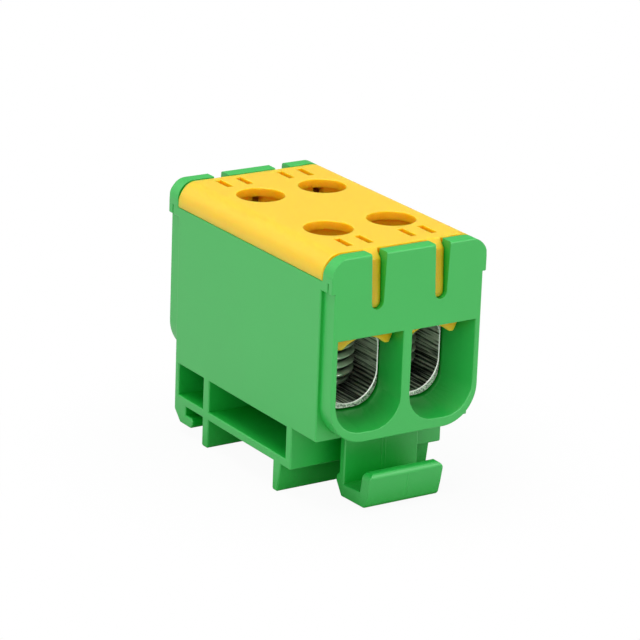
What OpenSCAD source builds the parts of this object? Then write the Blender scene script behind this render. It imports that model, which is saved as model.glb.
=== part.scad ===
// Two-pole feed-through terminal block for a 35 mm mounting rail.
// X runs across the poles, Y along the wires, Z up; the rail seat lies in z = 0.

/* [Housing] */
// Width of the housing and the cover across the poles
body_w = 29; // [27:0.5:36]
// Length of the housing between its two end faces, without the flanges
body_l = 43.2; // [42:0.2:50]
// Height of the housing's underside above the rail seat
body_floor = 7.05; // [6.5:0.05:8]
// Height of the side walls above the rail seat, where the cover begins
wall_top = 33.7; // [32.5:0.1:36]
// Height of the top of the cover and the tabs above the rail seat
top_z = 37.85; // [37:0.05:42]
// Radius of the upper corners of the tabs and the cover
top_r = 3.3; // [1:0.1:3.9]

/* [End flanges] */
// Thickness of each end flange
flange_t = 3.25; // [2.5:0.05:5]
// How far each flange stands in from the side wall, below the ledge
flange_inset = 0.6; // [0.2:0.05:1]
// Height of the ledge where the flange becomes as wide as the housing
ledge_z = 32.1; // [30:0.1:32.4]
// Radius of the flange's lower corners
flange_r = 6.3; // [3:0.1:7]
// Radius of the outer edge along the top of the tabs
tab_edge_r = 0.4; // [0.2:0.1:1]
// How far the tabs' inner faces lean out between the side walls' top and their own
tab_lean = 0.65; // [0:0.05:1]
// Width of the slots that part the tabs, near their bottom
tab_slot_w = 2.2; // [1.5:0.1:3]
// Width of the same slots at the top of the tabs
tab_slot_top_w = 2.8; // [2.2:0.1:3.6]
// Height of the rounded bottom of the tab slots
tab_slot_floor = 28.7; // [27:0.1:31]
// How far the tabs' inner faces stand outside the housing's end faces
tab_step = 0.25; // [0.1:0.05:0.5]
// Play between the cover's ends and the tabs
cover_fit = 0.1; // [0.05:0.01:0.2]
// Width of the slit in the side of each tab, just above the ledge
tab_slit_w = 0.2; // [0.1:0.05:0.4]
// Depth of that slit
tab_slit_depth = 0.4; // [0.2:0.05:0.6]
// Distance of that slit from the flange's outer face
tab_slit_inset = 1.4; // [1:0.05:2]

/* [Wire entries] */
// Distance between the two pole axes
pole_pitch = 11.9; // [11.7:0.05:13]
// Wall between the two wire entries at the flange's outer face
entry_web = 1.6; // [1.2:0.1:2.4]
// Width of each wire entry at the flange's outer face
entry_w = 12.2; // [11.6:0.1:12.8]
// Height of the lower edge of the wire entries
entry_floor = 8.7; // [8.2:0.1:9.6]
// Height of the upper edge of the wire entries
entry_top = 24.35; // [23.8:0.05:26]
// Radius of the lower corners of the wire entries
entry_r = 5; // [3:0.1:5.5]
// Width that the funnel leaves open in front of a clamp body
throat_w = 10.5; // [9.5:0.1:10.7]
// Distance from a clamp body's end to the inner end of the funnel
throat_gap = 0.75; // [0.5:0.05:1.2]
// Radius of the lower corners of the funnel's inner end
throat_r = 4; // [3:0.1:4.6]

/* [Clamp bodies] */
// Outer width of a clamp body
clamp_w = 11; // [10.8:0.05:11.2]
// Length of a clamp body along the wires
clamp_l = 35.7; // [34:0.1:36.5]
// Height of a clamp body's underside above the rail seat
clamp_floor = 10.1; // [9.8:0.05:10.6]
// Outer height of a clamp body
clamp_h = 16.9; // [16:0.1:18]
// Radius of a clamp body's lower outer corners
clamp_r = 4.5; // [3:0.1:5]
// Radius of a clamp body's upper outer corners
clamp_top_r = 1; // [0.5:0.1:2]
// Thickness of a clamp body's side walls
clamp_wall = 0.4; // [0.36:0.02:0.5]
// Thickness of a clamp body's bottom
clamp_base = 0.9; // [0.6:0.05:1.3]
// Thickness of the tapped top of a clamp body
clamp_roof = 5; // [4:0.1:6]
// Radius of the wire channel's upper corners
channel_r = 1; // [0.4:0.1:2]
// Play between a clamp body and its pocket
clamp_fit = 0.1; // [0.05:0.01:0.2]
// Play at each end of a clamp body
clamp_end_fit = 0.4; // [0.2:0.05:0.6]

/* [Clamp screws] */
// Outer diameter of a clamp screw
screw_d = 9.8; // [9.2:0.1:9.9]
// Length of a clamp screw
screw_l = 12.5; // [11:0.5:13]
// Distance of a screw's axis from the nearest end of its clamp body
screw_inset = 7.7; // [7.2:0.05:8.4]
// Height of a screw's tip above the floor of the wire channel
screw_tip_gap = 1.75; // [1.5:0.05:4]
// Size of the hex socket across its flats
socket_af = 5; // [4:0.5:6]
// Depth of the hex socket
socket_depth = 6; // [4:0.5:8]
// Chamfer at a screw's upper end
screw_chamfer = 0.6; // [0.3:0.1:1]
// Play between a screw's rounded end and the round floor of the wire channel
screw_end_play = 0.1; // [0.05:0.01:0.2]
// Play between a screw and its tapped hole
screw_fit = 0.05; // [0.02:0.01:0.09]

/* [Cover] */
// Thickness of the cover's top
cover_t = 1.45; // [1.2:0.05:2]
// Thickness of the cover's side walls
cover_wall = 2; // [1.6:0.1:2.6]
// Open seam between the cover's side walls and the housing's
cover_seam = 0.2; // [0.1:0.05:0.3]
// Diameter of the holes that give access to the screws
access_d = 8; // [6:0.1:8.5]
// Thickness of the skirts that hang at both ends of the cover
skirt_t = 1.2; // [1:0.05:1.4]
// How far the cover's ends lean out to the face of the skirts
skirt_step = 0.1; // [0:0.05:0.5]
// Play between the skirts and the side walls
skirt_fit = 0.1; // [0.05:0.01:0.2]
// Wall left in the housing beside each skirt
skirt_wall = 2; // [1.5:0.1:2.4]
// Height of the tips of the skirt's teeth
tooth_tip = 21.75; // [21.6:0.05:22.2]
// Height of the crown of the arch between two teeth
arch_crown = 23.3; // [22.8:0.05:23.6]
// How far each arch lies outside the axis of its pole
arch_shift = 0.2; // [0:0.05:0.3]
// Distance between the two tooth tips of one pole
tooth_pitch = 8.7; // [8:0.1:8.9]
// Width of the tip of a tooth
tooth_w = 0.75; // [0.4:0.05:0.9]
// Slant of the side of a tooth that faces away from the arch
tooth_slant = 0.8; // [0.3:0.05:0.9]
// Play round a screw in its guide chimney
chimney_play = 0.3; // [0.2:0.05:0.5]
// Wall of the guide chimneys
chimney_wall = 0.6; // [0.5:0.05:0.65]
// Gap between a guide chimney and the clamp body below it
chimney_gap = 0.2; // [0.1:0.05:0.5]
// Diameter of the collar that keeps the screws from rising through the cover
stop_d = 9; // [8.6:0.1:9.4]
// Height of that collar below the cover's top wall
stop_h = 2; // [1:0.1:3]
// Reach of the tongues that fill the slots between the tabs
tongue_reach = 2.3; // [1.5:0.05:2.6]
// How far the tongues' faces lean back towards their top
tongue_draft = 0.8; // [0.2:0.05:1]
// Play at each side of a tongue in its slot
tongue_fit = 0.12; // [0.05:0.01:0.2]
// Height of the slope at the top of the tongues
tongue_slope = 1.4; // [0.8:0.1:3]

/* [Marker slots] */
// Length of a marker slot along the wires
marker_l = 4.1; // [3:0.1:5]
// Width of a marker slot
marker_w = 1.15; // [0.8:0.05:1.6]
// Distance between the two marker slots of one pole
marker_pitch = 3.85; // [3:0.05:5]
// Distance from the middle of the block to the middle of a front marker slot
marker_front = 17.45; // [17.2:0.05:18.4]
// Distance from the middle of the block to the middle of a rear marker slot
marker_rear = 18.4; // [17.2:0.05:18.4]
// Width of the slits in the guide chimneys below the marker slots
slit_w = 1.5; // [1:0.1:2]

/* [Rail foot] */
// Thickness of the bar that rests on the rail
seat_t = 1.45; // [1.2:0.05:2]
// Height of the windows through the foot
foot_window_h = 5.4; // [4.5:0.05:5.5]
// Distance of the foot's front face from the middle
foot_front = 14.7; // [14.2:0.1:15.2]
// Thickness of the foot's front wall
foot_wall = 1.6; // [1.2:0.1:2]
// Distance of the rear rib's inner face from the middle
rear_rib_y = 10.65; // [10:0.05:10.8]
// Thickness of the rear rib
rear_rib_t = 1.85; // [1.4:0.05:1.9]
// Distance of the front rib's inner face from the middle
front_rib_y = 9.55; // [9:0.05:9.8]
// Thickness of the front rib at its root
front_rib_t = 2.25; // [1.8:0.05:2.5]
// Taper of the front rib's outer face
front_rib_taper = 0.7; // [0:0.05:1]
// Depth of the ribs below the rail seat
rib_depth = 4.9; // [4:0.1:5.5]
// Radius of the lower edges of the ribs
rib_r = 0.4; // [0.2:0.05:0.6]

/* [Rail hook] */
// Distance of the hook's inner wall from the middle
hook_y = 17.95; // [17.8:0.05:18.3]
// Thickness of the wall between the rear window and the end face
rear_wall = 1.15; // [0.8:0.05:1.6]
// Height of the slot that takes the rail's flange
hook_slot = 1.45; // [1.2:0.05:2]
// Reach of the hook under the rail's flange
hook_reach = 2.25; // [1.5:0.05:2.6]
// Thickness of the hook
hook_t = 1.75; // [1.2:0.05:2.4]
// Chamfer of the hook's outer lower edge
hook_chamfer = 1.9; // [1:0.1:2]
// Chamfer of the edges of the hook's tip
hook_tip_chamfer = 0.5; // [0.2:0.05:0.55]

/* [Latch arm] */
// Width of the latch arm
latch_w = 14; // [10:0.5:20]
// Distance of the latch arm's inner face from the middle
latch_y = 17.55; // [17.3:0.05:18]
// Thickness of the latch arm
latch_t = 1.4; // [1:0.05:2]
// Reach of the latch nose under the rail's flange
nose_reach = 0.85; // [0.5:0.05:1.2]
// Height of the nose's tip below the rail seat
nose_drop = 1.4; // [1.2:0.05:2]
// Depth of the latch arm below the rail seat
latch_depth = 4.5; // [4:0.1:4.8]
// Thickness of the foot of the latch arm
latch_base_t = 2.35; // [1.6:0.05:2.6]
// Distance from the arm's outer face to the inside of the grip
grip_gap = 5.2; // [4.5:0.1:6.5]
// Height of the top of the grip above the rail seat
grip_top = 1.8; // [1:0.1:3]
// Thickness of the grip below its lean
grip_t = 1.3; // [1:0.05:1.6]
// How far the grip's outer face leans out
grip_lean = 0.95; // [0.4:0.05:1.4]
// How far the grip's inner face leans out
grip_draft = 0.5; // [0:0.05:0.8]
// Radius of the grip's upper corners
grip_r = 1.3; // [0.4:0.1:1.8]
// Radius of the edges along the top of the grip
grip_edge_r = 0.8; // [0.3:0.05:0.85]
// Radius of the grip's lower outer edge
grip_low_r = 1.1; // [0.4:0.05:1.3]
// Rise of the latch arm's foot towards the grip
latch_rise = 0.2; // [0:0.05:0.4]

/* [Hidden] */
$fn = 64;

green = [0.31, 0.71, 0.37];
yellow = [1.0, 0.82, 0.27];
tinned = [0.72, 0.74, 0.72];
plated = [0.62, 0.65, 0.64];

// Overshoot of a cut past the face that it opens
over = 1;
// Thin slice from which a funnel is drawn
slice = 0.01;

half_w = body_w / 2;
body_end = body_l / 2;
flange_face = body_end + flange_t;
flange_half_w = half_w - flange_inset;
tab_inner = body_end + tab_step;
cover_end = tab_inner - cover_fit;
skirt_face = cover_end + skirt_step;

pole_x = pole_pitch / 2;
clamp_top = clamp_floor + clamp_h;
clamp_end = clamp_l / 2;
screw_y = clamp_end - screw_inset;
channel_w = clamp_w - 2 * clamp_wall;
channel_floor = clamp_floor + clamp_base;
channel_top = clamp_top - clamp_roof;
pocket_w = clamp_w + 2 * clamp_fit;
pocket_floor = clamp_floor - clamp_fit;
pocket_r = clamp_r + clamp_fit;
pocket_end = clamp_end + clamp_end_fit;
chamber_half_w = pole_x + pocket_w / 2;
throat_y = clamp_end + throat_gap;

skirt_half_w = half_w - skirt_wall - skirt_fit;
skirt_pocket_floor = arch_crown - skirt_fit;
arch_x = pole_x + arch_shift;
tooth_rise = arch_crown - tooth_tip;
arch_half = (tooth_pitch - tooth_w) / 2;
arch_r = (arch_half * arch_half + tooth_rise * tooth_rise) / (2 * tooth_rise);
cover_inside = top_z - cover_t;
chimney_r = screw_d / 2 + chimney_play;
chimney_outer_r = chimney_r + chimney_wall;
chimney_floor = clamp_top + chimney_gap;
stop_floor = cover_inside - stop_h;
tongue_end = cover_end + tongue_reach;
tongue_top = top_z - tongue_slope;

screw_tip = channel_floor + screw_tip_gap;
tapped_r = screw_d / 2 + screw_fit;
screw_end_r = channel_w / 2 - screw_end_play;
screw_end_z = channel_w / 2 - screw_tip_gap;

hook_tip_y = hook_y - hook_reach;
hook_floor = -hook_slot - hook_t;
latch_outer = latch_y + latch_t;
grip_inner = latch_outer + grip_gap;
grip_root = grip_inner - grip_draft;
grip_outer = grip_inner + grip_t;

// A profile drawn in X and Z, extruded between two places along Y
module along_y(y0, y1) {
    translate([0, y1, 0])
        rotate([90, 0, 0])
            linear_extrude(y1 - y0)
                children();
}

// A profile drawn in Y and Z, extruded across the middle of the block
module across(width) {
    rotate([90, 0, 90])
        linear_extrude(width, center = true)
            children();
}

// Upright profile on z0 to z1 with rounded lower and upper corners
module upright(w, z0, z1, r_low, r_high) {
    translate([-w / 2, z0 + r_low])
        square([w, z1 - z0 - r_low - r_high]);
    translate([-w / 2 + r_low, z0])
        square([w - 2 * r_low, z1 - z0 - r_high]);
    translate([-w / 2 + r_high, z0 + r_low])
        square([w - 2 * r_high, z1 - z0 - r_low]);
    for (side = [-1, 1]) {
        if (r_low > 0)
            translate([side * (w / 2 - r_low), z0 + r_low])
                circle(r_low);
        if (r_high > 0)
            translate([side * (w / 2 - r_high), z1 - r_high])
                circle(r_high);
    }
}

// Four places, one for each screw
module at_screws() {
    for (side = [-1, 1])
        for (end = [-1, 1])
            translate([side * pole_x, end * screw_y, 0])
                children();
}

// Both ends of the block, drawn at the rear
module both_ends() {
    children();
    rotate([0, 0, 180])
        children();
}

// Outline of a flange and its tabs, wider above the ledge
module flange_outline() {
    upright(2 * flange_half_w, body_floor, ledge_z + slice, flange_r, 0);
    upright(body_w, ledge_z, top_z, 0, top_r);
}

// Rounded edge along the top of the tabs, as a cutter
module tab_edge_cutter() {
    across(body_w + 2 * over)
        difference() {
            translate([flange_face - tab_edge_r, top_z - tab_edge_r])
                square(tab_edge_r + over);
            translate([flange_face - tab_edge_r, top_z - tab_edge_r])
                circle(tab_edge_r);
        }
}

// Slot between two tabs, wider towards its open top, drawn in by the given play
module tab_slot(play) {
    low_w = tab_slot_w / 2 - play;
    top_w = tab_slot_top_w / 2 - play;
    polygon([[-low_w, tab_slot_floor + tab_slot_w / 2], [low_w, tab_slot_floor + tab_slot_w / 2],
             [top_w, top_z], [top_w, top_z + over], [-top_w, top_z + over], [-top_w, top_z]]);
    translate([0, tab_slot_floor + tab_slot_w / 2])
        circle(low_w);
}

// Slit in the side of a tab at +X, at the rear
module tab_slit() {
    translate([half_w - tab_slit_depth, flange_face - tab_slit_inset, ledge_z])
        cube([tab_slit_depth + over, tab_slit_w, wall_top - ledge_z]);
}

// Mouth of a wire entry at the flange's outer face
module entry_outline() {
    translate([entry_web / 2 + entry_w / 2, 0])
        upright(entry_w, entry_floor, entry_top, entry_r, 0);
}

// Inner end of the funnel, in front of a clamp body
module throat_outline() {
    translate([pole_x, 0])
        upright(throat_w, pocket_floor, entry_top, throat_r, 0);
}

// Funnel that leads a wire into the clamp body of the pole at +X, at the rear
module funnel() {
    hull() {
        along_y(flange_face, flange_face + over, $fn = 32)
            entry_outline();
        along_y(throat_y - slice, throat_y, $fn = 32)
            throat_outline();
    }
    along_y(pocket_end - over, throat_y)
        throat_outline();
}

// Space for one clamp body, open towards the cover
module clamp_pocket() {
    along_y(-pocket_end, pocket_end)
        upright(pocket_w, pocket_floor, wall_top + over, pocket_r, 0);
}

// Space above the clamp bodies and behind the tabs
module cover_space() {
    translate([-chamber_half_w, -pocket_end, clamp_top])
        cube([2 * chamber_half_w, 2 * pocket_end, wall_top - clamp_top + over]);
    both_ends()
        translate([-skirt_half_w - skirt_fit, pocket_end - over, skirt_pocket_floor])
            cube([2 * (skirt_half_w + skirt_fit), skirt_face + cover_fit - pocket_end + over,
                  top_z - skirt_pocket_floor + over]);
    across(body_w + 2 * over)
        lid_side(tab_inner, tab_lean, over);
}

// Side view of the cover, or of the space for it between the tabs: its ends lean out
module lid_side(end, top_lean, rise) {
    lean = top_lean * (top_z + rise - wall_top) / (top_z - wall_top);
    polygon([[-end, wall_top], [end, wall_top], [end + lean, top_z + rise], [-end - lean, top_z + rise]]);
}

// Rib that reaches into the rail, with rounded lower edges
module rib(y_inner, y_outer, taper) {
    dir = sign(y_outer - y_inner);
    y_low = y_outer - dir * taper;
    polygon([[y_inner, seat_t], [y_outer, 0], [y_low, rib_r - rib_depth],
             [y_inner, rib_r - rib_depth]]);
    translate([min(y_inner, y_low) + rib_r, -rib_depth])
        square([abs(y_low - y_inner) - 2 * rib_r, 2 * rib_r]);
    for (y = [y_inner + dir * rib_r, y_low - dir * rib_r])
        translate([y, rib_r - rib_depth])
            circle(rib_r);
}

// Fixed hook that takes one flange of the rail
module hook() {
    polygon([[hook_y, seat_t], [body_end, seat_t], [body_end, hook_floor + hook_chamfer],
             [body_end - hook_chamfer, hook_floor], [hook_tip_y + hook_tip_chamfer, hook_floor],
             [hook_tip_y, hook_floor + hook_tip_chamfer], [hook_tip_y, -hook_slot - hook_tip_chamfer],
             [hook_tip_y + hook_tip_chamfer, -hook_slot], [hook_y, -hook_slot]]);
}

// Section of the rail foot in Y and Z
module foot_profile() {
    difference() {
        translate([-foot_front, 0])
            square([foot_front + body_end, body_floor + over]);
        translate([foot_wall - foot_front, seat_t])
            square([foot_front - foot_wall + rear_rib_y, foot_window_h]);
        translate([rear_rib_y + rear_rib_t, seat_t])
            square([body_end - rear_wall - rear_rib_y - rear_rib_t, foot_window_h]);
    }
    rib(rear_rib_y, rear_rib_y + rear_rib_t, 0);
    rib(-front_rib_y, -front_rib_y - front_rib_t, front_rib_taper);
    hook();
}

// Section of the latch arm: leaf, nose, base and grip
module latch_profile() {
    base_top = latch_base_t - latch_depth;
    grip_floor = latch_rise - latch_depth;
    lean = atan(grip_lean / (grip_top - grip_floor - grip_low_r));
    face_floor = grip_floor + grip_low_r * (1 - sin(lean));
    low_y = grip_low_r * cos(lean) - grip_outer;
    edge_z = grip_top - grip_edge_r;
    edge_y = -grip_outer - grip_lean * (edge_z - face_floor) / (grip_top - face_floor);
    translate([-latch_outer, base_top - latch_base_t / 2])
        square([latch_t, body_floor + latch_depth]);
    polygon([[-latch_y, nose_reach - nose_drop], [nose_reach - latch_y, -nose_drop],
             [nose_reach - latch_y, -nose_drop - nose_reach], [-latch_y - latch_t / 2, -latch_depth],
             [-latch_outer, -latch_depth], [-latch_outer, -nose_drop]]);
    polygon([[latch_t / 2 - latch_outer, base_top], [-grip_root, base_top + latch_rise],
             [-grip_inner, edge_z], [edge_y, edge_z],
             [-grip_outer, face_floor], [low_y, grip_floor],
             [latch_t / 2 - latch_outer, -latch_depth]]);
    translate([low_y, grip_floor + grip_low_r])
        circle(grip_low_r);
    translate([edge_y + grip_edge_r, edge_z])
        square([-grip_inner - edge_y - 2 * grip_edge_r, grip_edge_r]);
    for (y = [edge_y + grip_edge_r, -grip_inner - grip_edge_r])
        translate([y, edge_z])
            circle(grip_edge_r);
}

// Springy arm that snaps behind the other flange of the rail
module latch_arm() {
    intersection() {
        across(latch_w)
            latch_profile();
        union() {
            translate([-half_w, -grip_root, -latch_depth - over])
                cube([body_w, grip_root, body_floor + latch_depth + 2 * over]);
            along_y(-grip_outer - grip_lean - over, -grip_root)
                upright(latch_w, -latch_depth, grip_top, 0, grip_r);
        }
    }
}

module housing() {
    color(green) {
        difference() {
            union() {
                translate([-half_w, -body_end, body_floor])
                    cube([body_w, body_l, wall_top - body_floor]);
                both_ends()
                    along_y(body_end - over, flange_face)
                        flange_outline();
            }
            both_ends() {
                tab_edge_cutter();
                for (side = [-1, 1]) {
                    translate([side * pole_x, 0, 0])
                        along_y(body_end - over, flange_face + over)
                            tab_slot(0);
                }
                for (side = [0, 1])
                    mirror([side, 0, 0]) {
                        funnel();
                        tab_slit();
                    }
            }
            for (side = [-1, 1])
                translate([side * pole_x, 0, 0])
                    clamp_pocket();
            cover_space();
        }
        across(body_w)
            foot_profile();
        latch_arm();
    }
}

// Teeth and arches along the lower edge of a skirt
module skirt_outline() {
    difference() {
        intersection() {
            translate([-skirt_half_w, tooth_tip])
                square([2 * skirt_half_w, top_z - tooth_tip]);
            upright(body_w, tooth_tip, top_z, 0, top_r);
        }
        for (side = [0, 1])
            mirror([side, 0])
                translate([arch_x, 0]) {
                    translate([0, arch_crown - arch_r])
                        circle(arch_r);
                    for (flank = [-1, 1])
                        flank_cut(flank);
                }
    }
}

// Cut beside a tooth, on the side away from its arch
module flank_cut(flank) {
    tip = (tooth_pitch + tooth_w) / 2;
    room = arch_x - entry_web / 2 - skirt_fit - tip;
    slant = flank > 0 ? tooth_slant : min(tooth_slant, room);
    reach = flank > 0 ? skirt_half_w - arch_x + over : arch_x;
    polygon([[flank * tip, tooth_tip - over], [flank * tip, tooth_tip],
             [flank * (tip + slant), arch_crown], [flank * reach, arch_crown],
             [flank * reach, tooth_tip - over]]);
}

// Tongues that fill the slots between the tabs, with a sloping top
module tongues() {
    intersection() {
        for (side = [-1, 1])
            translate([side * pole_x, 0, 0])
                along_y(skirt_face - skirt_t, tongue_end)
                    tab_slot(tongue_fit);
        across(body_w)
            polygon([[skirt_face - skirt_t, 0], [tongue_end, 0], [tongue_end, tab_slot_floor],
                     [tongue_end - tongue_draft, tongue_top], [skirt_face, top_z],
                     [skirt_face - skirt_t, top_z]]);
    }
}

// Round guide under the cover, with slits below the marker slots
module chimney() {
    difference() {
        translate([0, 0, chimney_floor])
            cylinder(r = chimney_outer_r, h = cover_inside + slice - chimney_floor);
        translate([0, 0, chimney_floor - over])
            cylinder(r = chimney_r, h = stop_floor - chimney_floor + over);
        translate([0, 0, stop_floor - over])
            cylinder(d = stop_d, h = stop_h + over);
        for (side = [-1, 1])
            translate([side * marker_pitch / 2 - slit_w / 2, 0, chimney_floor - over])
                cube([slit_w, chimney_outer_r + over, cover_inside - chimney_floor + over]);
    }
}

module cover() {
    color(yellow)
        difference() {
            union() {
                difference() {
                    intersection() {
                        along_y(-skirt_face, skirt_face)
                            upright(body_w, wall_top + cover_seam, top_z, 0, top_r);
                        across(body_w + over)
                            lid_side(cover_end, skirt_step, 0);
                    }
                    translate([cover_wall - half_w, skirt_t - cover_end, wall_top - over])
                        cube([body_w - 2 * cover_wall, 2 * (cover_end - skirt_t),
                              cover_inside - wall_top + over]);
                }
                both_ends() {
                    along_y(skirt_face - skirt_t, skirt_face)
                        skirt_outline();
                    tongues();
                    intersection() {
                        for (side = [-1, 1])
                            translate([side * pole_x, screw_y, 0])
                                chimney();
                        translate([clamp_fit - chamber_half_w, 0, 0])
                            cube([2 * (chamber_half_w - clamp_fit), cover_end, top_z]);
                    }
                }
            }
            at_screws()
                translate([0, 0, cover_inside - over])
                    cylinder(d = access_d, h = cover_t + 2 * over);
            for (side = [-1, 1])
                for (y = [-marker_front, marker_rear])
                    for (half = [-1, 1])
                        translate([side * pole_x + half * marker_pitch / 2 - marker_w / 2,
                                   y - marker_l / 2, cover_inside - over])
                            cube([marker_w, marker_l, cover_t + 2 * over]);
        }
}

// Extruded clamp body with its two tapped holes
module clamp(side) {
    color(tinned)
        translate([side * pole_x, 0, 0])
            difference() {
                along_y(-clamp_end, clamp_end)
                    difference() {
                        upright(clamp_w, clamp_floor, clamp_top, clamp_r, clamp_top_r);
                        upright(channel_w, channel_floor, channel_top, channel_w / 2 - slice, channel_r);
                    }
                for (end = [-1, 1])
                    translate([0, end * screw_y, channel_top - over])
                        cylinder(r = tapped_r, h = clamp_roof + 2 * over);
            }
}

// Set screw with a hex socket in its upper end
module screw(side, end) {
    color(plated)
        translate([side * pole_x, end * screw_y, screw_tip])
            difference() {
                rotate_extrude()
                    intersection() {
                        polygon([[0, 0], [screw_d / 2, 0], [screw_d / 2, screw_l - screw_chamfer],
                                 [screw_d / 2 - screw_chamfer, screw_l], [0, screw_l]]);
                        union() {
                            translate([0, screw_end_z])
                                circle(screw_end_r);
                            translate([0, screw_end_z])
                                square([screw_d, screw_l]);
                        }
                    }
                translate([0, 0, screw_l - socket_depth])
                    cylinder(d = socket_af / cos(30), h = socket_depth + over, $fn = 6);
            }
}

module clamp_left() {
    clamp(-1);
}

module clamp_right() {
    clamp(1);
}

module screw_front_left() {
    screw(-1, -1);
}

module screw_front_right() {
    screw(1, -1);
}

module screw_rear_left() {
    screw(-1, 1);
}

module screw_rear_right() {
    screw(1, 1);
}

housing();
cover();
clamp_left();
clamp_right();
screw_front_left();
screw_front_right();
screw_rear_left();
screw_rear_right();
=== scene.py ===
import math

import bmesh
import bpy
from mathutils import Matrix, Vector
from mathutils.bvhtree import BVHTree
from mathutils.geometry import intersect_line_line_2d


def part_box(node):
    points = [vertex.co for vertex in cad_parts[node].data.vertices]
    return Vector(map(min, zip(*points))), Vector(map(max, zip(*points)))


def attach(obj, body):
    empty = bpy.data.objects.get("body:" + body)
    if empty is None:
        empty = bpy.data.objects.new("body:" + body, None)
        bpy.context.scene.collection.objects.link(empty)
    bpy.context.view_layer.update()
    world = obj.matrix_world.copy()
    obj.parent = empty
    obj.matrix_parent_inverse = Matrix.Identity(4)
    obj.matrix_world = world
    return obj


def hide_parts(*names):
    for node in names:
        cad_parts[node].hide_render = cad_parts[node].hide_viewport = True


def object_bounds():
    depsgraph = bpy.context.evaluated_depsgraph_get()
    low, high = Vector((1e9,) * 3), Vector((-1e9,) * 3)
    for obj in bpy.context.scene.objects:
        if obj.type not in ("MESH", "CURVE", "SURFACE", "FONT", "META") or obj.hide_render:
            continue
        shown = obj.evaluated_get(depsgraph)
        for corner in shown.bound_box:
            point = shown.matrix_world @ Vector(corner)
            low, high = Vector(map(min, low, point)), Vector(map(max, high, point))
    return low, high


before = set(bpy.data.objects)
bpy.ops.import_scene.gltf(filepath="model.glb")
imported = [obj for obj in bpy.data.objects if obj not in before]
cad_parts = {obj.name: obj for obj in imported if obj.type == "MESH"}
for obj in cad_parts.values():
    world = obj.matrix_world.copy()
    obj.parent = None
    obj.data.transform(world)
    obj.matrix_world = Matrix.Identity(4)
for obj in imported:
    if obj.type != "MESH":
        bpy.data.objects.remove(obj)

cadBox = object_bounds()
mm = 0.001
print("frame loaded:", ", ".join(sorted(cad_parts)))


# Colours are written as sRGB hex and turned to linear here
def linear(hexColour):
    channels = [int(hexColour[i:i + 2], 16) / 255 for i in (1, 3, 5)]
    return [c / 12.92 if c <= 0.04045 else ((c + 0.055) / 1.055) ** 2.4 for c in channels] + [1.0]


# Adds one node, sets its sockets or properties and links its sockets; sockets that share a name are
# given by number
def addNode(tree, kind, settings=None, links=None):
    node = tree.nodes.new(kind)
    for name, value in (settings or {}).items():
        if isinstance(name, int) or name in node.inputs:
            node.inputs[name].default_value = value
        else:
            setattr(node, name, value)
    for name, socket in (links or {}).items():
        tree.links.new(socket, node.inputs[name])
    return node


# An empty node material; its tree holds only the output
def newMaterial(name):
    material = bpy.data.materials.new(name)
    material.use_nodes = True
    tree = material.node_tree
    tree.nodes.clear()
    return material, tree, addNode(tree, "ShaderNodeOutputMaterial")


# What the plastic of both mouldings has in common, in millimetres. The real spark grain is too fine
# for the render, so it is drawn several times as coarse
polyamide = {
    "ior": 1.53, "roughness": (0.37, 0.47), "flowSize": 14,
    "sparkSize": 0.16, "sparkDepth": 0.02, "sparkStrength": 0.25,
    "recessShadeFull": 0.3, "recessShadeGloss": 0.15, "samples": 4, "scatterRadius": (2.6, 1.5, 0.12),
}


# Moulded polyamide: the tool's fine spark texture breaks up the sheen, and the pigment
# flows a little unevenly, so wide faces are never quite one tone. Recesses get painted shade:
# where ambient occlusion is low, the colour is mixed towards a deeper, fuller tone and the sheen is lowered
def mouldedPolyamide(name, look):
    material, tree, output = newMaterial(name)
    place = addNode(tree, "ShaderNodeTexCoord")
    flow = addNode(tree, "ShaderNodeTexNoise",
                   {"Scale": 1 / (polyamide["flowSize"] * mm), "Detail": 3.0, "Roughness": 0.5},
                   {"Vector": place.outputs["Object"]})
    pigment = addNode(tree, "ShaderNodeMix",
                      {"data_type": "RGBA", "A": linear(look["colour"]), "B": linear(look["flowColour"])},
                      {"Factor": flow.outputs["Fac"]})
    # Painted shade: where ambient occlusion is low, the colour goes to the deeper recess tone and the sheen
    # drops
    openness = addNode(tree, "ShaderNodeAmbientOcclusion",
                       {"samples": polyamide["samples"], "Distance": look["recessShadeReach"] * mm})
    recessShade = addNode(tree, "ShaderNodeMapRange",
                     {"From Min": look["recessShadeStart"], "From Max": polyamide["recessShadeFull"]},
                     {"Value": openness.outputs["AO"]})
    tone = addNode(tree, "ShaderNodeMix", {"data_type": "RGBA", "B": linear(look["recessShadeColour"])},
                   {"Factor": recessShade.outputs["Result"], "A": pigment.outputs["Result"]})
    gloss = addNode(tree, "ShaderNodeMapRange",
                    {"To Min": look["gloss"], "To Max": polyamide["recessShadeGloss"]},
                    {"Value": recessShade.outputs["Result"]})
    spark = addNode(tree, "ShaderNodeTexNoise",
                    {"Scale": 1 / (polyamide["sparkSize"] * mm), "Detail": 4.0, "Roughness": 0.6},
                    {"Vector": place.outputs["Object"]})
    sheen = addNode(tree, "ShaderNodeMapRange",
                    {"To Min": polyamide["roughness"][0], "To Max": polyamide["roughness"][1]},
                    {"Value": spark.outputs["Fac"]})
    worn = addNode(tree, "ShaderNodeBevel",
                   {"samples": polyamide["samples"], "Radius": look["softEdge"] * mm})
    relief = addNode(tree, "ShaderNodeBump",
                     {"Strength": polyamide["sparkStrength"], "Distance": polyamide["sparkDepth"] * mm},
                     {"Height": spark.outputs["Fac"], "Normal": worn.outputs["Normal"]})
    surface = addNode(tree, "ShaderNodeBsdfPrincipled",
                      {"IOR": polyamide["ior"], "Subsurface Weight": look["translucency"],
                       "Subsurface Radius": polyamide["scatterRadius"], "Subsurface Scale": mm},
                      {"Base Color": tone.outputs["Result"], "Roughness": sheen.outputs["Result"],
                       "Specular IOR Level": gloss.outputs["Result"], "Normal": relief.outputs["Normal"]})
    tree.links.new(surface.outputs["BSDF"], output.inputs["Surface"])
    return material
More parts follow.
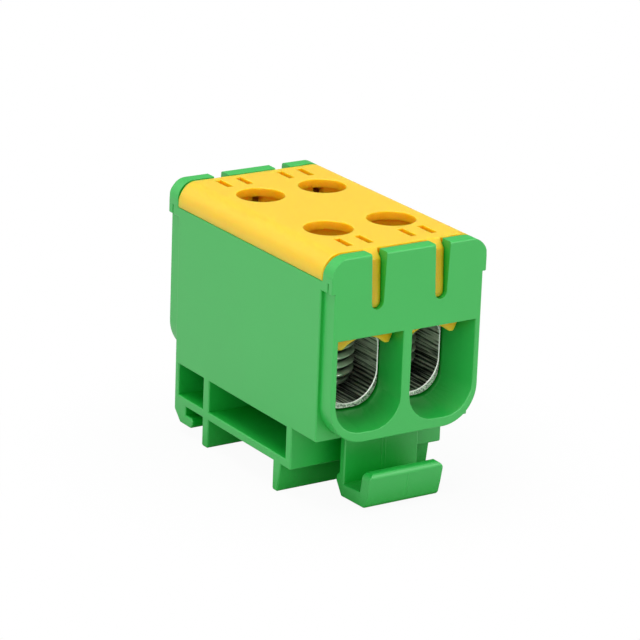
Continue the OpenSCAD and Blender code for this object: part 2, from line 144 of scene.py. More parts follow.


# Tinned aluminium extrusion: bright grey, drawn along the bore, so faint streaks run that way; the
# grooves are darkened with painted shade, the rims get a plain bright painted highlight and the sawn ends are
# mottled
def tinnedAluminium(name, look):
    material, tree, output = newMaterial(name)
    place = addNode(tree, "ShaderNodeTexCoord")
    across, lengthwise = 1 / (look["streakWidth"] * mm), 1 / (look["streakLength"] * mm)
    along = addNode(tree, "ShaderNodeMapping", {"Scale": (across, lengthwise, across)},
                    {"Vector": place.outputs["Object"]})
    streak = addNode(tree, "ShaderNodeTexNoise", {"Scale": 1.0, "Detail": 4.0, "Roughness": 0.6},
                     {"Vector": along.outputs["Vector"]})
    lines = addNode(tree, "ShaderNodeMapRange",
                    {"From Min": look["streakBand"][0], "From Max": look["streakBand"][1]},
                    {"Value": streak.outputs["Fac"]})
    drawn = addNode(tree, "ShaderNodeMix",
                    {"data_type": "RGBA", "A": linear(look["darkColour"]), "B": linear(look["colour"])},
                    {"Factor": lines.outputs["Result"]})
    # Painted shade: a per-vertex weight darkens the grooves and the tube's outside
    groove = addNode(tree, "ShaderNodeAttribute", {"attribute_name": "grooveDepth"})
    grooveShaded = addNode(tree, "ShaderNodeMix", {"data_type": "RGBA", "B": linear(look["grooveShadeColour"])},
                      {"Factor": groove.outputs["Fac"], "A": drawn.outputs["Result"]})
    facing = addNode(tree, "ShaderNodeSeparateXYZ", None, {"Vector": place.outputs["Normal"]})
    endwards = addNode(tree, "ShaderNodeMath", {"operation": "ABSOLUTE"}, {"Value": facing.outputs["Y"]})
    # Painted highlight: chamfers and ends that face along the bore take a plain bright colour
    rim = addNode(tree, "ShaderNodeMapRange",
                  {"From Min": look["rimFacing"][0], "From Max": look["rimFacing"][1]},
                  {"Value": endwards.outputs["Value"]})
    rimHighlighted = addNode(tree, "ShaderNodeMix", {"data_type": "RGBA", "B": linear(look["rimHighlightColour"])},
                        {"Factor": rim.outputs["Result"], "A": grooveShaded.outputs["Result"]})
    sawn = addNode(tree, "ShaderNodeMapRange",
                   {"From Min": look["sawnFacing"][0], "From Max": look["sawnFacing"][1]},
                   {"Value": endwards.outputs["Value"]})
    teeth = addNode(tree, "ShaderNodeTexNoise",
                    {"Scale": 1 / (look["sawMark"] * mm), "Detail": 2.0, "Roughness": 0.6},
                    {"Vector": place.outputs["Object"]})
    patches = addNode(tree, "ShaderNodeMapRange",
                      {"From Min": look["mottleBand"][0], "From Max": look["mottleBand"][1]},
                      {"Value": teeth.outputs["Fac"]})
    mottle = addNode(tree, "ShaderNodeMix",
                     {"data_type": "RGBA", "A": linear(look["sawnDark"]), "B": linear(look["colour"])},
                     {"Factor": patches.outputs["Result"]})
    tone = addNode(tree, "ShaderNodeMix", {"data_type": "RGBA"},
                   {"Factor": sawn.outputs["Result"], "A": rimHighlighted.outputs["Result"],
                    "B": mottle.outputs["Result"]})
    drawnSheen = addNode(tree, "ShaderNodeMapRange",
                         {"To Min": look["roughness"][0], "To Max": look["roughness"][1]},
                         {"Value": streak.outputs["Fac"]})
    sheen = addNode(tree, "ShaderNodeMix", {"data_type": "FLOAT", "B": look["sawnRoughness"]},
                    {"Factor": rim.outputs["Result"], "A": drawnSheen.outputs["Result"]})
    relief = addNode(tree, "ShaderNodeBump",
                     {"Strength": look["streakStrength"], "Distance": look["streakDepth"] * mm},
                     {"Height": streak.outputs["Fac"]})
    surface = addNode(tree, "ShaderNodeBsdfPrincipled", {"Metallic": 1.0},
                      {"Base Color": tone.outputs["Result"], "Roughness": sheen.outputs["Result"],
                       "Normal": relief.outputs["Normal"]})
    tree.links.new(surface.outputs["BSDF"], output.inputs["Surface"])
    return material


# Zinc plated steel: cool grey with a soft bloom, a little duller in patches and darkened by
# painted shade in the thread's roots
def zincPlatedSteel(name, look):
    material, tree, output = newMaterial(name)
    place = addNode(tree, "ShaderNodeTexCoord")
    bloom = addNode(tree, "ShaderNodeTexNoise",
                    {"Scale": 1 / (look["bloomSize"] * mm), "Detail": 5.0, "Roughness": 0.65},
                    {"Vector": place.outputs["Object"]})
    plated = addNode(tree, "ShaderNodeMix",
                     {"data_type": "RGBA", "A": linear(look["darkColour"]), "B": linear(look["colour"])},
                     {"Factor": bloom.outputs["Fac"]})
    # Painted shade: a per-vertex weight darkens the thread's roots
    rootShade = addNode(tree, "ShaderNodeAttribute", {"attribute_name": "grooveDepth"})
    tone = addNode(tree, "ShaderNodeMix", {"data_type": "RGBA", "B": linear(look["rootShadeColour"])},
                   {"Factor": rootShade.outputs["Fac"], "A": plated.outputs["Result"]})
    sheen = addNode(tree, "ShaderNodeMapRange",
                    {"To Min": look["roughness"][0], "To Max": look["roughness"][1]},
                    {"Value": bloom.outputs["Fac"]})
    surface = addNode(tree, "ShaderNodeBsdfPrincipled", {"Metallic": 1.0},
                      {"Base Color": tone.outputs["Result"], "Roughness": sheen.outputs["Result"]})
    tree.links.new(surface.outputs["BSDF"], output.inputs["Surface"])
    return material


# Puts a finished mesh in the scene as a piece that stands for a node
def addPiece(name, mesh, material, body, node):
    mesh.materials.clear()
    mesh.materials.append(material)
    piece = bpy.data.objects.new(name, mesh)
    bpy.context.scene.collection.objects.link(piece)
    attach(piece, body)
    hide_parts(node)
    return piece


# The mesh of a piece as its modifiers leave it
def bakedMesh(piece):
    bpy.context.view_layer.update()
    return bpy.data.meshes.new_from_object(piece.evaluated_get(bpy.context.evaluated_depsgraph_get()))


# Sharp folds stay sharp, round faces shade smoothly
def softShade(piece, sharpAngle):
    bm = bmesh.new()
    bm.from_mesh(piece.data)
    for face in bm.faces:
        face.smooth = True
    for edge in bm.edges:
        edge.smooth = edge.is_manifold and edge.calc_face_angle() < math.radians(sharpAngle)
    bm.to_mesh(piece.data)
    bm.free()


# How the edges of both mouldings are found and rounded, in millimetres and degrees
moulding = {
    "weld": 0.0002, "flatAngle": 0.5, "sharpAngle": 38, "edgeSteps": 3,
    "leastRadius": 0.03, "roomShare": 0.4, "roomPlaces": (0.05, 0.35, 0.65, 0.95), "leastRoom": 0.001,
    "lookRays": 60, "lookLift": 0.05, "hiddenBy": ["housing", "cover", "clamp_left", "clamp_right"],
    "attempts": 16, "easings": 10, "easeShare": 0.6,
    "foldReach": 0.4, "foldSpread": 1.0005, "foldTurn": -0.3, "foldOut": 0.02,
}


# Evenly spread directions over a ball
def ballDirections(count):
    golden = math.pi * (3 - math.sqrt(5))
    spread = []
    for i in range(count):
        z = 1 - 2 * (i + 0.5) / count
        r = math.sqrt(1 - z * z)
        spread.append(Vector((r * math.cos(golden * i), r * math.sin(golden * i), z)))
    return spread


# The nodes' own faces, to tell which edges can be seen from outside
def outsideTree(nodeNames):
    verts, faces = [], []
    for nodeName in nodeNames:
        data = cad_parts[nodeName].data
        first = len(verts)
        verts += [v.co.copy() for v in data.vertices]
        faces += [[first + i for i in face.vertices] for face in data.polygons]
    return BVHTree.FromPolygons(verts, faces)


# A sharp outer edge is seen if some way out of it meets none of the nodes
def isSeen(edge, nodesTree, directions):
    if not edge.is_manifold or edge.calc_face_angle_signed() < math.radians(moulding["sharpAngle"]):
        return False
    outward = (edge.link_faces[0].normal + edge.link_faces[1].normal).normalized()
    middle = (edge.verts[0].co + edge.verts[1].co) / 2
    start = middle + outward * moulding["lookLift"] * mm
    return any(d.dot(outward) > 0 and nodesTree.ray_cast(start, d)[0] is None for d in directions)


# Width of a face beside one of its edges: the shortest way across it from points along the edge
def faceRoom(face, edge):
    loop = next(corner for corner in face.loops if corner.edge == edge)
    a, b = loop.vert.co, loop.link_loop_next.vert.co
    along = (b - a).normalized()
    inward = face.normal.cross(along)
    room = math.inf
    for share in moulding["roomPlaces"]:
        start = a.lerp(b, share)
        for other in face.edges:
            if other == edge:
                continue
            p, q = other.verts[0].co - start, other.verts[1].co - start
            px, py, qx, qy = p.dot(along), p.dot(inward), q.dot(along), q.dot(inward)
            if (px > 0) != (qx > 0):
                reach = py + (qy - py) * px / (px - qx)
                if reach > moulding["leastRoom"] * mm:
                    room = min(room, reach)
    return room


# The piece's own radius, or a finer one on a crisp top, as far as the faces beside the edge have room
def fittingRadius(edge, form):
    middle = (edge.verts[0].co + edge.verts[1].co) / 2
    top = form["crispTop"]
    crisp = top and middle.z / mm > top["above"] and abs(middle.y / mm) < top["within"]
    wanted = top["radius"] if crisp else form["edgeRadius"]
    room = min(faceRoom(face, edge) for face in edge.link_faces) / mm
    return min(wanted, room * moulding["roomShare"])


# A thin raised line where two inserts of the mould met, from its low to its high end on the face
def addRidge(bm, ridge, line):
    low, high = Vector(line["low"]) * mm, Vector(line["high"]) * mm
    out = Vector(line["out"]).normalized()
    across = (high - low).cross(out).normalized() * ridge["width"] / 2 * mm
    section = ((ridge["foot"], -ridge["sink"]), (ridge["crest"], ridge["height"]),
               (-ridge["crest"], ridge["height"]), (-ridge["foot"], -ridge["sink"]))
    ends = []
    for end in (low, high):
        ends.append([bm.verts.new(end + across * side + out * rise * mm) for side, rise in section])
    faces = [bm.faces.new(ends[0][::-1]), bm.faces.new(ends[1])]
    for i in range(len(section)):
        j = (i + 1) % len(section)
        faces.append(bm.faces.new((ends[0][i], ends[0][j], ends[1][j], ends[1][i])))
    bmesh.ops.recalc_face_normals(bm, faces=faces)


# A moulding: the node's faces with coplanar ones joined, and a share of the piece's radius on each
# outer edge, because a moulded edge always catches a thin line of light. The cuts run through the
# holes, so that no joined face goes round one
def mouldedMesh(nodeName, name, form):
    bm = bmesh.new()
    bm.from_mesh(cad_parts[nodeName].data)
    weld = moulding["weld"] * mm
    bmesh.ops.remove_doubles(bm, verts=bm.verts, dist=weld)
    for axis, place in form["cuts"]:
        parts = bm.verts[:] + bm.edges[:] + bm.faces[:]
        normal = Vector((axis == "x", axis == "y", axis == "z"))
        cut = bmesh.ops.bisect_plane(bm, geom=parts, dist=weld, plane_co=normal * place * mm, plane_no=normal)
        for part in cut["geom_cut"]:
            if isinstance(part, bmesh.types.BMEdge):
                part.seam = True
    bmesh.ops.dissolve_limit(bm, angle_limit=math.radians(moulding["flatAngle"]), verts=bm.verts,
                             edges=bm.edges, delimit={"SEAM"})
    nodesTree = outsideTree(moulding["hiddenBy"])
    directions = ballDirections(moulding["lookRays"])
    share = bm.edges.layers.float.new("bevel_weight_edge")
    rounded = 0
    for edge in bm.edges:
        radius = fittingRadius(edge, form) if isSeen(edge, nodesTree, directions) else 0
        if radius > moulding["leastRadius"]:
            edge[share] = radius / form["edgeRadius"]
            rounded += 1
    for line in form["mouldLines"]:
        addRidge(bm, form["ridge"], line)
    mesh = bpy.data.meshes.new(name)
    bm.to_mesh(mesh)
    bm.free()
    print(name, "edges rounded:", rounded)
    return mesh


# Places where the outline of a flat face crosses itself
def crossings(mesh, polygon):
    points = [mesh.vertices[i].co for i in polygon.vertices]
    across = polygon.normal.orthogonal().normalized()
    up = polygon.normal.cross(across)
    flat = [Vector((p.dot(across), p.dot(up))) for p in points]
    count = len(flat)
    found = []
    for i in range(count):
        nextI = (i + 1) % count
        for j in range(i + 2, count - (i == 0)):
            nextJ = (j + 1) % count
            if intersect_line_line_2d(flat[i], flat[nextI], flat[j], flat[nextJ]):
                found.append((points[i] + points[nextI] + points[j] + points[nextJ]) / 4)
    return found


# Places where the rounding went wrong, seen on the finished mesh: a face whose triangles cover more
# than itself, a face that looks back inwards, or a corner that stands out of the plain piece
def foldedPlaces(piece, baseTree):
    bpy.context.view_layer.update()
    shown = piece.evaluated_get(bpy.context.evaluated_depsgraph_get())
    mesh = shown.to_mesh()
    mesh.calc_loop_triangles()
    spread = [0.0] * len(mesh.polygons)
    for triangle in mesh.loop_triangles:
        spread[triangle.polygon_index] += triangle.area
    places = []
    for polygon in mesh.polygons:
        if len(polygon.vertices) > 4 and spread[polygon.index] > polygon.area * moulding["foldSpread"]:
            places += crossings(mesh, polygon) or [mesh.vertices[i].co.copy() for i in polygon.vertices]
        else:
            normal = baseTree.find_nearest(polygon.center)[1]
            if polygon.normal.dot(normal) < moulding["foldTurn"]:
                places.append(polygon.center.copy())
    for vertex in mesh.vertices:
        place, normal, _, distance = baseTree.find_nearest(vertex.co)
        if distance > moulding["foldOut"] * mm and (vertex.co - place).dot(normal) > 0:
            places.append(vertex.co.copy())
    shown.to_mesh_clear()
    return places


# Tells whether an edge passes close to one of the places
def isNear(a, b, places):
    for place in places:
        share = min(max((place - a).dot(b - a) / (b - a).length_squared, 0), 1)
        if (a.lerp(b, share) - place).length < moulding["foldReach"] * mm:
            return True
    return False


# Rounds the weighted edges of a moulding and keeps its wide faces flat. Where the rounding does not
# fit between fine details its radius is brought down until it does
def roundEdges(piece, form):
    soft = piece.modifiers.new("mouldedEdges", "BEVEL")
    soft.limit_method = "WEIGHT"
    soft.width = form["edgeRadius"] * mm
    soft.segments = moulding["edgeSteps"]
    soft.use_clamp_overlap = False
    mesh = piece.data
    baseTree = BVHTree.FromPolygons([v.co for v in mesh.vertices], [list(p.vertices) for p in mesh.polygons])
    weights = mesh.attributes["bevel_weight_edge"].data
    least = moulding["leastRadius"] / form["edgeRadius"]
    for attempt in range(moulding["attempts"]):
        places = foldedPlaces(piece, baseTree)
        print(piece.name, "folds left:", len(places))
        if not places:
            break
        for edge in mesh.edges:
            a, b = (mesh.vertices[i].co for i in edge.vertices)
            weight = weights[edge.index]
            if weight.value > 0 and isNear(a, b, places):
                eased = weight.value * moulding["easeShare"]
                lasting = eased > least and attempt < moulding["easings"]
                weight.value = eased if lasting else 0
    piece.data = bakedMesh(piece)
    piece.modifiers.remove(soft)
    softShade(piece, moulding["sharpAngle"])
    flat = piece.modifiers.new("flatFaces", "WEIGHTED_NORMAL")
    flat.keep_sharp = True


# Housing, in millimetres; a ridge's foot and crest are in half widths of the ridge
housing = {
    "edgeRadius": 0.24, "crispTop": None, "cuts": [("z", 16), ("z", 4), ("y", 0)],
    "ridge": {"width": 0.12, "height": 0.03, "foot": 2, "crest": 0.6, "sink": 0.02},
    "mouldLines": [
        {"low": (0.0, -18.95, -1.9), "high": (0.0, -18.95, 7.0), "out": (0, -1, 0)},
        {"low": (0.7, -18.95, -1.9), "high": (0.7, -18.95, 7.0), "out": (0, -1, 0)},
        {"low": (0.4, -25.5, -3.2), "high": (0.4, -26.25, 0.95), "out": (0, -1, -0.18)},
    ],
    # The recess colour is painted shade, mixed in where ambient occlusion is low
    "look": {"colour": "#16ab3e", "flowColour": "#1ab042", "gloss": 0.85, "softEdge": 0.12, "translucency": 0.0,
             "recessShadeColour": "#009a22", "recessShadeReach": 8, "recessShadeStart": 0.7},
}
greenPolyamide = mouldedPolyamide("greenMouldedPolyamide", housing["look"])
housingPiece = addPiece("housing_moulding", mouldedMesh("housing", "housing_moulding", housing),
                        greenPolyamide, "block", "housing")
roundEdges(housingPiece, housing)

# Cover, in millimetres: its top has crisper edges than its skirts, and thin yellow lets some light in
cover = {
    "edgeRadius": 0.2, "crispTop": {"above": 37.7, "within": 21, "radius": 0.08},
    "cuts": [("x", -5.95), ("x", 5.95), ("y", -17.45), ("y", 18.4)], "mouldLines": [],
    # The recess colour is painted shade, mixed in where ambient occlusion is low
    "look": {"colour": "#fcc112", "flowColour": "#fec718", "gloss": 0.6, "softEdge": 0.1, "translucency": 0.9,
             "recessShadeColour": "#ffb00a", "recessShadeReach": 12, "recessShadeStart": 0.8},
}
yellowPolyamide = mouldedPolyamide("yellowMouldedPolyamide", cover["look"])
coverPiece = addPiece("cover_moulding", mouldedMesh("cover", "cover_moulding", cover),
                      yellowPolyamide, "block", "cover")
roundEdges(coverPiece, cover)
print("mouldings done")

# Clamp tube: an extrusion with a round bore floor that is grooved to bite the wire. Sizes are in
# millimetres, angles in degrees, grooveStart below the bore's widest line. The saw marks are drawn
# coarser than they are, to show in the render
clampTube = {
    "wall": 0.4, "floor": 0.9, "roof": 5.0, "lowRadius": 4.5, "topRadius": 1.0, "boreTopRadius": 2.0,
    "boreSlack": 0.01,  # the bore's floor is just short of a half circle
    "steps": 720, "sharpAngle": 30,
    "rimChamfer": 0.13, "rimRun": 0.4, "outerChamfer": 0.24, "outerRun": 0.9,
    "grooves": 23, "grooveStart": 8, "grooveDepth": 0.3, "ribHeight": 0.07, "grooveShadePower": 3,
    "drawLines": 190, "drawDepth": 0.02, "drawShare": 0.3,
    "screwPitch": 20.3, "tappedRadius": 4.95, "tappedSides": 96, "drillOver": 1.0,
    # The groove colour is painted shade and the rim colour a painted highlight
    "look": {"colour": "#fafff4", "darkColour": "#4c534a", "grooveShadeColour": "#1a1c18", "rimHighlightColour": "#fbfbf8",
             "sawnDark": "#6c716a", "sawMark": 0.16, "mottleBand": (0.4, 0.62), "sawnRoughness": 0.6,
             "rimFacing": (0.5, 0.65), "sawnFacing": (0.85, 0.97), "roughness": (0.44, 0.62),
             "streakWidth": 0.36, "streakLength": 9, "streakBand": (0.38, 0.56), "streakDepth": 0.02,
             "streakStrength": 0.25},
}


# Distance from the bore's middle to an upright outline with rounded corners, in one direction
def reachOf(angle, half, low, high, lowRadius, highRadius):
    dx, dz = abs(math.cos(angle)), math.sin(angle)
    nearZero = 1e-9
    reach = half / dx if dx > nearZero else math.inf
    if dz > nearZero:
        reach = min(reach, high / dz)
    if dz < -nearZero:
        reach = min(reach, low / dz)
    x, z = dx * reach, dz * reach
    radius, edge = (lowRadius, low) if dz < 0 else (highRadius, high)
    centreX, centreZ = half - radius, edge - math.copysign(radius, edge)
    if x > centreX and abs(z) > abs(centreZ):
        along = dx * centreX + dz * centreZ
        reach = along + math.sqrt(max(radius ** 2 - centreX ** 2 - centreZ ** 2 + along ** 2, 0))
    return reach


# Grooves run along the lower half of the bore and faint draw lines along the rest: how far each one
# goes into the wall, and how deep it is as a share
def boreGroove(angle):
    first = math.radians(180 + clampTube["grooveStart"])
    last = math.radians(360 - clampTube["grooveStart"])
    if first < angle < last:
        share = (angle - first) / (last - first) * clampTube["grooves"]
        depth = abs(math.sin(math.pi * share))
        return clampTube["grooveDepth"] * depth - clampTube["ribHeight"], depth
    depth = clampTube["drawShare"] * math.sin(angle * clampTube["drawLines"]) ** 2
    return clampTube["drawDepth"] * depth, depth


# The tube as rings from one end to the other and back through the bore. The grooves get painted
# shade, and the tube's outside a full painted shadow, as in the gap around it
def clampMesh(name, box):
    low, high = box
    middleX = (low.x + high.x) / 2
    half = (high.x - low.x) / 2 / mm
    bottom, top, end = low.z / mm, high.z / mm, high.y / mm
    boreHalf = half - clampTube["wall"]
    centreZ = bottom + clampTube["floor"] + boreHalf
    boreLow = bottom + clampTube["floor"] - centreZ
    boreHigh = top - clampTube["roof"] - centreZ
    outer, mouth, bore, grooveShadeWeights = [], [], [], []
    for i in range(clampTube["steps"]):
        angle = 2 * math.pi * i / clampTube["steps"]
        outer.append((angle, reachOf(angle, half, bottom - centreZ, top - centreZ,
                                     clampTube["lowRadius"], clampTube["topRadius"])))
        reach = reachOf(angle, boreHalf, boreLow, boreHigh,
                        boreHalf - clampTube["boreSlack"], clampTube["boreTopRadius"])
        mouth.append((angle, reach))
        cutIn, depth = boreGroove(angle)
        bore.append((angle, reach + cutIn))
        # Painted shade weight: the deeper into the groove, the darker
        grooveShadeWeights.append(depth ** clampTube["grooveShadePower"])
    rim, rimRun = clampTube["rimChamfer"], clampTube["rimRun"]
    outerRim, outerRun = clampTube["outerChamfer"], clampTube["outerRun"]
    rings = [(outer, -outerRim, end), (outer, 0, end - outerRun), (outer, 0, outerRun - end),
             (outer, -outerRim, -end), (mouth, rim, -end), (mouth, 0, rim - end), (bore, 0, rimRun - end),
             (bore, 0, end - rimRun), (mouth, 0, end - rim), (mouth, rim, end)]
    bm = bmesh.new()
    grooveDepth = bm.verts.layers.float.new("grooveDepth")
    loops = []
    for outline, grow, y in rings:
        loops.append([bm.verts.new((middleX + math.cos(a) * (r + grow) * mm, y * mm,
                                    (centreZ + math.sin(a) * (r + grow)) * mm)) for a, r in outline])
        if outline is bore:
            for vert, dark in zip(loops[-1], grooveShadeWeights):
                vert[grooveDepth] = dark
        # Painted shadow: the tube's outside is darkened in full
        if outline is outer and grow == 0:
            for vert in loops[-1]:
                vert[grooveDepth] = 1
    for ring, nextRing in zip(loops, loops[1:] + loops[:1]):
        for i in range(len(ring)):
            j = (i + 1) % len(ring)
            bm.faces.new((ring[i], ring[j], nextRing[j], nextRing[i]))
    bmesh.ops.recalc_face_normals(bm, faces=bm.faces)
    mesh = bpy.data.meshes.new(name)
    bm.to_mesh(mesh)
    bm.free()
    return mesh


# Drills the two tapped holes through the roof of a clamp tube and the round corners below it
def drillRoof(piece, box):
    low, high = box
    middleX, top = (low.x + high.x) / 2, high.z / mm
    depth = clampTube["roof"] + clampTube["boreTopRadius"] + clampTube["drillOver"]
    radius = clampTube["tappedRadius"] * mm
    bm = bmesh.new()
    for side in (-1, 1):
        place = Vector((middleX, side * clampTube["screwPitch"] / 2 * mm,
                        (top + clampTube["drillOver"] - depth / 2) * mm))
        bmesh.ops.create_cone(bm, cap_ends=True, segments=clampTube["tappedSides"], radius1=radius,
                              radius2=radius, depth=depth * mm, matrix=Matrix.Translation(place))
    drillData = bpy.data.meshes.new("drill")
    bm.to_mesh(drillData)
    bm.free()
    drill = bpy.data.objects.new("drill", drillData)
    bpy.context.scene.collection.objects.link(drill)
    cut = piece.modifiers.new("tappedHoles", "BOOLEAN")
    cut.operation = "DIFFERENCE"
    cut.solver = "EXACT"
    cut.object = drill
    drilled = bakedMesh(piece)
    piece.modifiers.remove(cut)
    piece.data = drilled
    bpy.data.objects.remove(drill)


tinned = tinnedAluminium("tinnedExtrudedAluminium", clampTube["look"])
for side in ("left", "right"):
    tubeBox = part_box("clamp_" + side)
    tube = addPiece("clamp_tube_" + side, clampMesh("clamp_tube_" + side, tubeBox), tinned, "block",
                    "clamp_" + side)
    drillRoof(tube, tubeBox)
    softShade(tube, clampTube["sharpAngle"])
print("clamp tubes done")

# Set screw with a metric thread, a hex socket above and a rounded end below, in millimetres. The
# thread's flats and flanks are shares of half a pitch
setScrew = {
    "pitch": 1.5, "threadDepth": 0.85, "crestFlat": 0.12, "flank": 0.7, "around": 72, "perPitch": 14,
    "topChamfer": 0.6, "endRadius": 5.0, "endHeight": 3.35, "trimmed": 0.01, "rootShadePower": 2, "sharpAngle": 38,
    "socketFlats": 5.0, "socketDepth": 6.0, "socketChamfer": 0.25, "drillPoint": 1.1,
    # The root colour is painted shade in the thread's roots
    "look": {"colour": "#f4fdf0", "darkColour": "#c4d0c0", "rootShadeColour": "#242822", "bloomSize": 0.4,
             "roughness": (0.28, 0.46)},
}


def screwMesh(name, node):
    low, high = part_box(node)
    x, y = (low.x + high.x) / 2, (low.y + high.y) / 2
    radius, length = (high.x - low.x) / 2 / mm, (high.z - low.z) / mm
    around = setScrew["around"]
    angles = [2 * math.pi * i / around for i in range(around)]
    rows = int(length / setScrew["pitch"] * setScrew["perPitch"])
    bm = bmesh.new()
    grooveDepth = bm.verts.layers.float.new("grooveDepth")

    def ring(radii, z):
        return [bm.verts.new((x + math.cos(a) * r * mm, y + math.sin(a) * r * mm, low.z + z * mm))
                for a, r in zip(angles, radii)]

    def joinRings(lower, upper):
        for i in range(around):
            j = (i + 1) % around
            bm.faces.new((lower[i], lower[j], upper[j], upper[i]))

    # A thread's flank falls from its crest and rises again over one pitch, with flats between
    def threadFall(angle, z):
        turn = (z / setScrew["pitch"] - angle / (2 * math.pi)) % 1
        return min(max((abs(turn - 0.5) * 2 - setScrew["crestFlat"]) / setScrew["flank"], 0), 1)

    # The round end below and the chamfer above trim the thread
    def trimRadius(z):
        chamfered = radius - max(z - (length - setScrew["topChamfer"]), 0)
        if z >= setScrew["endHeight"]:
            return chamfered
        return min(math.sqrt(max(setScrew["endRadius"] ** 2 - (setScrew["endHeight"] - z) ** 2, 0)), chamfered)

    loops = []
    for row in range(rows + 1):
        z = length * row / rows
        falls = [threadFall(a, z) for a in angles]
        threaded = [radius - setScrew["threadDepth"] * fall for fall in falls]
        trim = trimRadius(z)
        loops.append(ring([min(r, trim) for r in threaded], z))
        for vert, fall, r in zip(loops[-1], falls, threaded):
            # Painted shade weight, darkest in the thread's roots
            vert[grooveDepth] = fall ** setScrew["rootShadePower"] if r - trim < setScrew["trimmed"] else 0
    for lower, upper in zip(loops, loops[1:]):
        joinRings(lower, upper)
    tip = bm.verts.new((x, y, low.z))
    for i in range(around):
        bm.faces.new((tip, loops[0][(i + 1) % around], loops[0][i]))
    # The hex socket's reach in each direction
    flats = setScrew["socketFlats"] / 2
    hexRadii = [flats / math.cos((a + math.pi / 6) % (math.pi / 3) - math.pi / 6) for a in angles]
    mouth = ring([r + setScrew["socketChamfer"] for r in hexRadii], length)
    throat = ring(hexRadii, length - setScrew["socketChamfer"])
    bottom = ring(hexRadii, length - setScrew["socketDepth"])
    joinRings(loops[-1], mouth)
    joinRings(mouth, throat)
    joinRings(throat, bottom)
    point = bm.verts.new((x, y, low.z + (length - setScrew["socketDepth"] - setScrew["drillPoint"]) * mm))
    for i in range(around):
        bm.faces.new((bottom[i], bottom[(i + 1) % around], point))
    bmesh.ops.recalc_face_normals(bm, faces=bm.faces)
    mesh = bpy.data.meshes.new(name)
    bm.to_mesh(mesh)
    bm.free()
    return mesh


zinc = zincPlatedSteel("zincPlatedSteel", setScrew["look"])
for end in ("front", "rear"):
    for side in ("left", "right"):
        node = "screw_" + end + "_" + side
        screw = addPiece("set_" + node, screwMesh("set_" + node, node), zinc, end + "_" + side + "_screw", node)
        softShade(screw, setScrew["sharpAngle"])
print("set screws done")

# Studio, in metres and watts: a white sheet under the block, a pale surround that mirrors see dimmer
# behind the block, and five large soft lamps
studio = {
    "sheetSize": 4.0, "sheetColour": "#d2d2d2", "sheetNear": 0.026, "sheetFar": 0.055, "whiteNear": 0.95,
    "mirroredNear": 0.12, "surround": 0.17, "mirroredFront": 1.0, "mirroredBack": 0.45,
    "frontEnds": -0.8, "backStarts": 0.4,  # along Y, of a direction of length 1
    "lamps": {
        "topSoftbox": {"place": (-0.08, 0.05, 0.62), "size": 0.45, "power": 3.3},
        "sideSoftbox": {"place": (-0.26, -0.17, 0.16), "size": 0.26, "power": 0.52},
        "frontSoftbox": {"place": (0.25, -0.52, 0.30), "size": 0.42, "power": 1.25},
        "rightSoftbox": {"place": (0.44, -0.14, 0.24), "size": 0.40, "power": 0.55},
        "rearSoftbox": {"place": (-0.24, 0.46, 0.26), "size": 0.40, "power": 0.4},
    },
    "aim": (0.0, 0.0, 0.016),
}


# White to the camera and through clear matter, dimmer at the back for mirrors, and a soft even
# surround that lights the block
def studioWorld():
    world = bpy.data.worlds.new("studioSurround")
    world.use_nodes = True
    tree = world.node_tree
    tree.nodes.clear()
    rays = addNode(tree, "ShaderNodeLightPath")
    direction = addNode(tree, "ShaderNodeTexCoord")
    split = addNode(tree, "ShaderNodeSeparateXYZ", None, {"Vector": direction.outputs["Generated"]})
    depth = addNode(tree, "ShaderNodeMapRange",
                    {"From Min": studio["frontEnds"], "From Max": studio["backStarts"],
                     "To Min": studio["mirroredFront"], "To Max": studio["mirroredBack"]},
                    {"Value": split.outputs["Y"]})
    mirrored = addNode(tree, "ShaderNodeMath", {"operation": "MINIMUM"},
                       {0: rays.outputs["Is Glossy Ray"], 1: depth.outputs["Result"]})
    direct = addNode(tree, "ShaderNodeMath", {"operation": "MAXIMUM"},
                     {0: rays.outputs["Is Camera Ray"], 1: rays.outputs["Is Transmission Ray"]})
    seen = addNode(tree, "ShaderNodeMath", {"operation": "MAXIMUM"},
                   {0: direct.outputs["Value"], 1: mirrored.outputs["Value"]})
    strength = addNode(tree, "ShaderNodeMath", {"operation": "MAXIMUM", 0: studio["surround"]},
                       {1: seen.outputs["Value"]})
    light = addNode(tree, "ShaderNodeBackground", {"Color": (1, 1, 1, 1)},
                    {"Strength": strength.outputs["Value"]})
    addNode(tree, "ShaderNodeOutputWorld", None, {"Surface": light.outputs["Background"]})
    bpy.context.scene.world = world


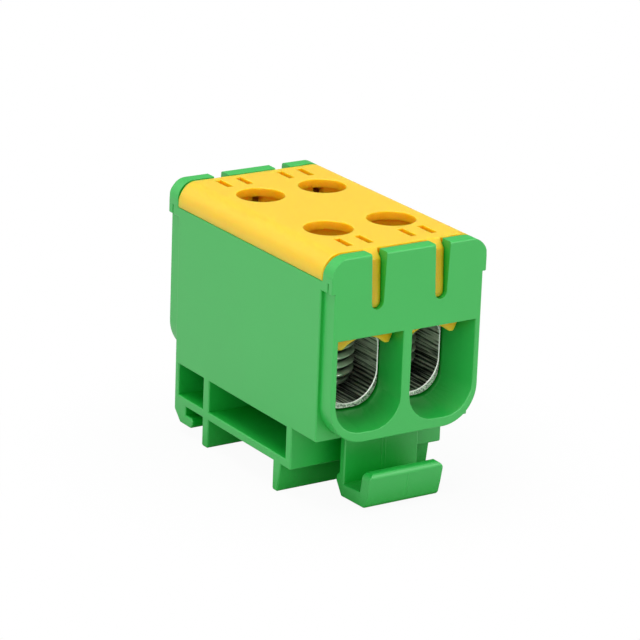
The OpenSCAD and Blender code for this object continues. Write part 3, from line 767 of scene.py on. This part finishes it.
# White paper: plain white away from the block; under it the camera still sees its shadow, and
# mirrors see the shaded paper
def paperSheet():
    material, tree, output = newMaterial("matPaperSheet")
    rays = addNode(tree, "ShaderNodeLightPath")
    place = addNode(tree, "ShaderNodeTexCoord")
    away = addNode(tree, "ShaderNodeVectorMath", {"operation": "LENGTH"}, {"Vector": place.outputs["Object"]})
    fades = []
    for near in (studio["whiteNear"], studio["mirroredNear"]):
        fades.append(addNode(tree, "ShaderNodeMapRange",
                             {"From Min": studio["sheetNear"], "From Max": studio["sheetFar"], "To Min": near,
                              "To Max": 1.0, "interpolation_type": "SMOOTHSTEP"},
                             {"Value": away.outputs["Value"]}))
    direct = addNode(tree, "ShaderNodeMath", {"operation": "MAXIMUM"},
                     {0: rays.outputs["Is Camera Ray"], 1: rays.outputs["Is Transmission Ray"]})
    white = addNode(tree, "ShaderNodeMath", {"operation": "MINIMUM"},
                    {0: direct.outputs["Value"], 1: fades[0].outputs["Result"]})
    mirrored = addNode(tree, "ShaderNodeMath", {"operation": "MINIMUM"},
                       {0: rays.outputs["Is Glossy Ray"], 1: fades[1].outputs["Result"]})
    seen = addNode(tree, "ShaderNodeMath", {"operation": "MAXIMUM"},
                   {0: white.outputs["Value"], 1: mirrored.outputs["Value"]})
    paper = addNode(tree, "ShaderNodeBsdfDiffuse", {"Color": linear(studio["sheetColour"])})
    glow = addNode(tree, "ShaderNodeEmission", {"Color": (1, 1, 1, 1), "Strength": 1.0})
    mixed = addNode(tree, "ShaderNodeMixShader", None,
                    {"Fac": seen.outputs["Value"], 1: paper.outputs["BSDF"], 2: glow.outputs["Emission"]})
    tree.links.new(mixed.outputs["Shader"], output.inputs["Surface"])
    half = studio["sheetSize"] / 2
    corners = [(-half, -half, 0), (half, -half, 0), (half, half, 0), (-half, half, 0)]
    mesh = bpy.data.meshes.new("paper_sheet")
    mesh.from_pydata(corners, [], [(0, 1, 2, 3)])
    mesh.materials.append(material)
    sheet = bpy.data.objects.new("paper_sheet", mesh)
    sheet.location.z = cadBox[0][2]
    bpy.context.scene.collection.objects.link(sheet)


def addLamps():
    for name, lamp in studio["lamps"].items():
        data = bpy.data.lights.new(name, "AREA")
        data.shape = "SQUARE"
        data.size = lamp["size"]
        data.energy = lamp["power"]
        lampObject = bpy.data.objects.new(name, data)
        lampObject.location = lamp["place"]
        away = Vector(lamp["place"]) - Vector(studio["aim"])
        lampObject.rotation_euler = away.to_track_quat("Z", "Y").to_euler()
        bpy.context.scene.collection.objects.link(lampObject)


# Camera at the photograph's place, fitted to the block's straight edges. Places are in metres,
# angles in degrees, lens and sensor in millimetres
camera = {
    "aim": (-0.0001885, 0.0, 0.018597), "distance": 0.54022, "lens": 186.83, "sensor": 36.0,
    "azimuth": -33.388, "elevation": 18.607, "roll": 2.171,
}


def addCamera():
    azimuth, elevation = math.radians(camera["azimuth"]), math.radians(camera["elevation"])
    back = Vector((math.sin(azimuth) * math.cos(elevation), -math.cos(azimuth) * math.cos(elevation),
                   math.sin(elevation)))
    turn = back.to_track_quat("Z", "Y").to_matrix() @ Matrix.Rotation(math.radians(camera["roll"]), 3, "Z")
    place = Vector(camera["aim"]) + back * camera["distance"]
    data = bpy.data.cameras.new("photoCamera")
    data.lens = camera["lens"]
    data.sensor_width = camera["sensor"]
    cameraObject = bpy.data.objects.new("photoCamera", data)
    cameraObject.matrix_world = Matrix.Translation(place) @ turn.to_4x4()
    bpy.context.scene.collection.objects.link(cameraObject)
    bpy.context.scene.camera = cameraObject


studioWorld()
paperSheet()
addLamps()
addCamera()
bpy.context.scene.view_settings.view_transform = "Standard"
print("studio done")
